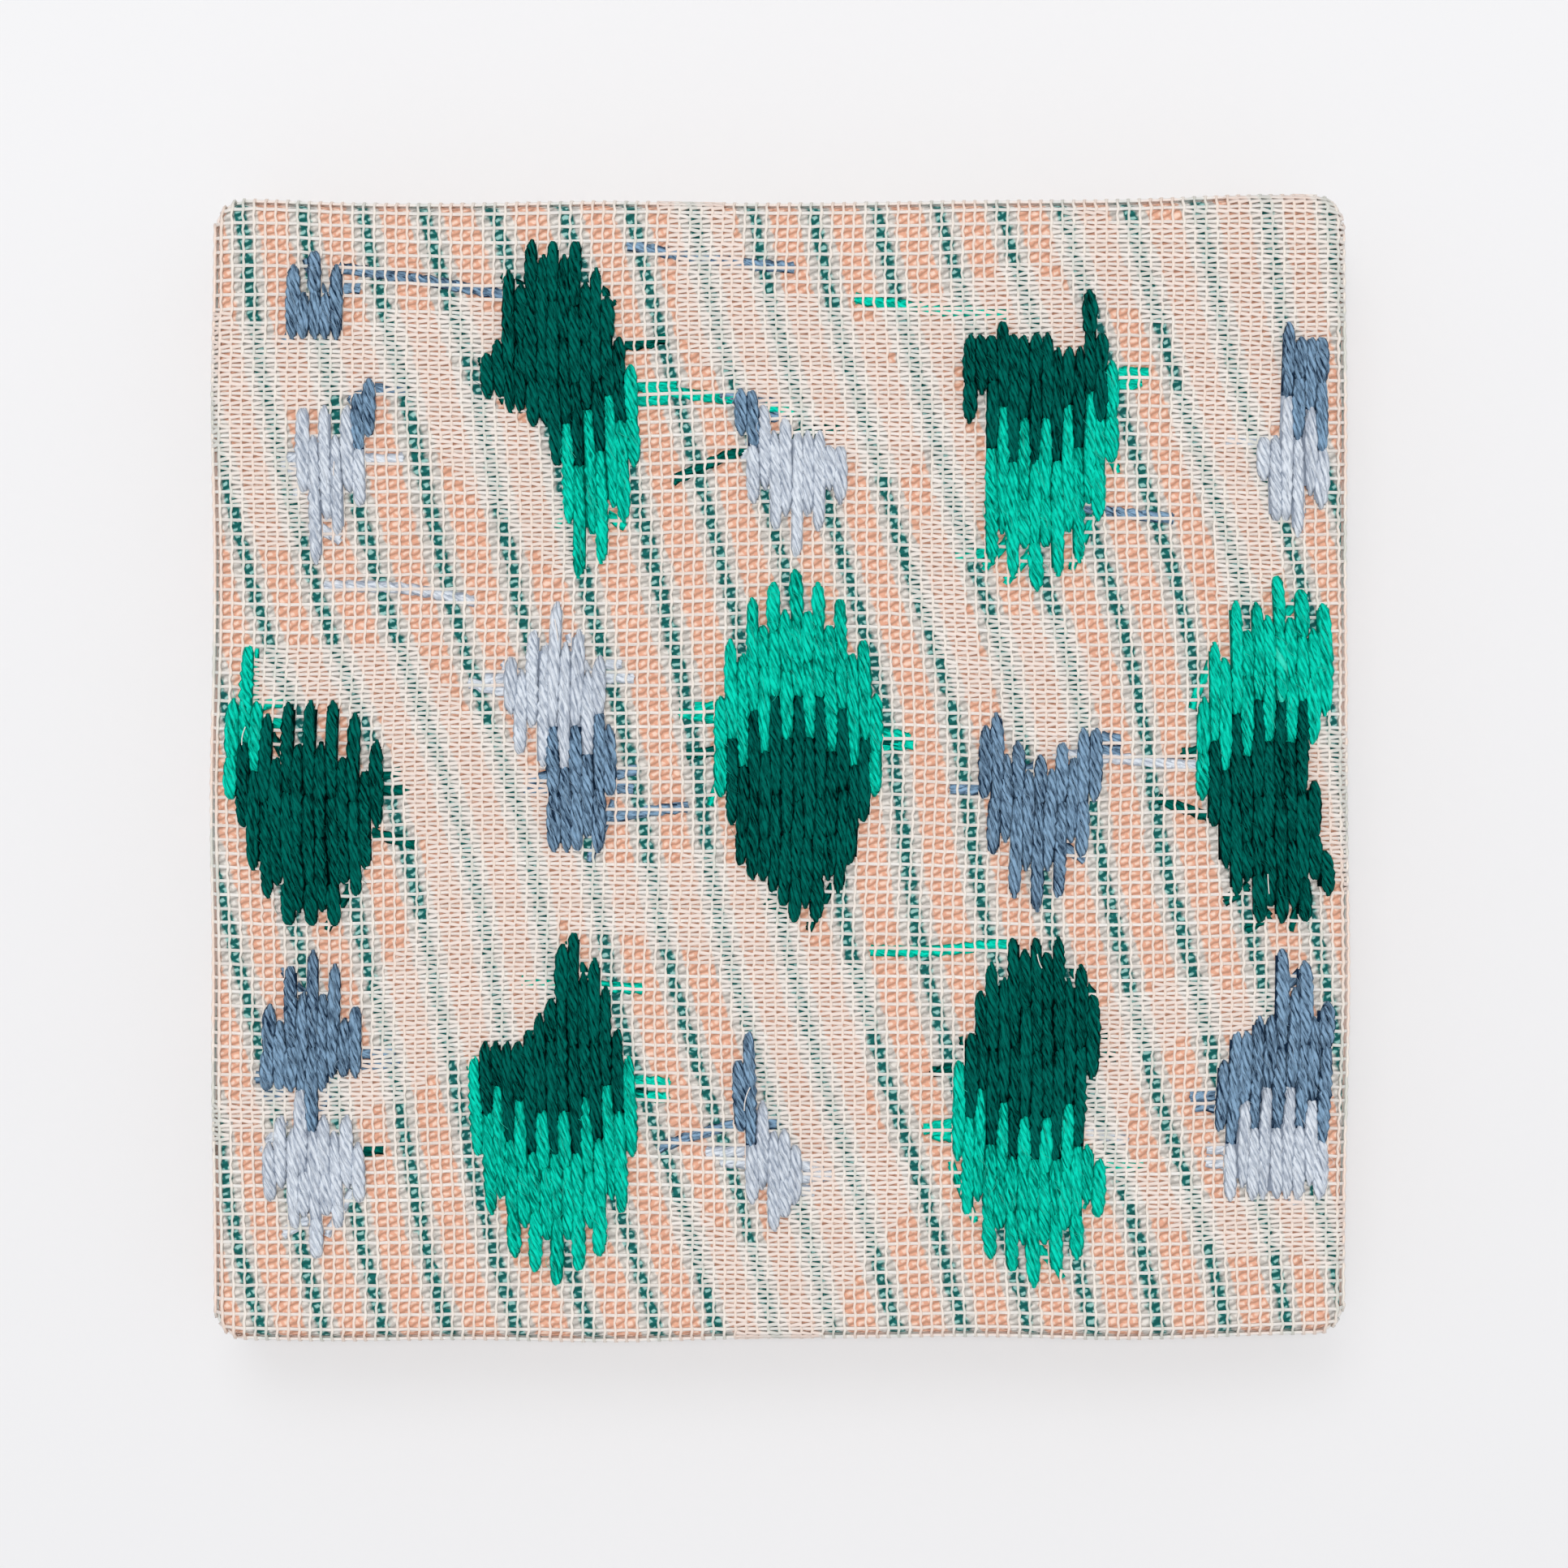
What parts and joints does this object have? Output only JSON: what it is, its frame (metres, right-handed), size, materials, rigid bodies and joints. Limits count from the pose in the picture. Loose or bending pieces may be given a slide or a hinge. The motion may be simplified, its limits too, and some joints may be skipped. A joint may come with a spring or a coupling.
{
  "type": "embroidered lace panel on stretcher frame",
  "caption": "Small square textile panel: striped cloth and square-mesh lace stretched over a mitred wooden frame, with upright flame-stitch lozenges in thick yarn.",
  "frame": {"origin": "centre of the panel's back, on the surface that it lies on", "axes": "+Z out of the embroidered face, +Y towards the picture's top, +X towards its right"},
  "size_m": [0.1512, 0.1523, 0.0226],
  "materials": {
    "wood": "plain planed pine",
    "ground_cloth": "matt woven stripe, peach, cream and dark teal",
    "lace": "matt cream cotton net with a filled figure",
    "yarn_dark": "soft plied wool, dark green",
    "yarn_bright": "soft plied wool, bright green",
    "yarn_slate": "soft plied wool, slate blue",
    "yarn_pale": "soft plied wool, pale blue-grey"
  },
  "bodies": {
    "root": {"bar_bottom": "wood", "bar_left": "wood", "bar_right": "wood", "bar_top": "wood", "bright_patch_1": "yarn_bright", "bright_patch_2": "yarn_bright", "bright_patch_3": "yarn_bright", "bright_patch_4": "yarn_bright", "bright_patch_5": "yarn_bright", "bright_patch_6": "yarn_bright", "bright_patch_7": "yarn_bright", "dark_patch_1": "yarn_dark", "dark_patch_2": "yarn_dark", "dark_patch_3": "yarn_dark", "dark_patch_4": "yarn_dark", "dark_patch_5": "yarn_dark", "dark_patch_6": "yarn_dark", "dark_patch_7": "yarn_dark", "ground_cloth": "ground_cloth", "lace_panel": "lace", "pale_patch_1": "yarn_pale", "pale_patch_2": "yarn_pale", "pale_patch_3": "yarn_pale", "pale_patch_4": "yarn_pale", "pale_patch_5": "yarn_pale", "pale_patch_6": "yarn_pale", "pale_patch_7": "yarn_pale", "slate_patch_1": "yarn_slate", "slate_patch_2": "yarn_slate", "slate_patch_3": "yarn_slate", "slate_patch_4": "yarn_slate", "slate_patch_5": "yarn_slate", "slate_patch_6": "yarn_slate", "slate_patch_7": "yarn_slate", "slate_patch_8": "yarn_slate", "slate_patch_9": "yarn_slate"}
  },
  "joints": []
}
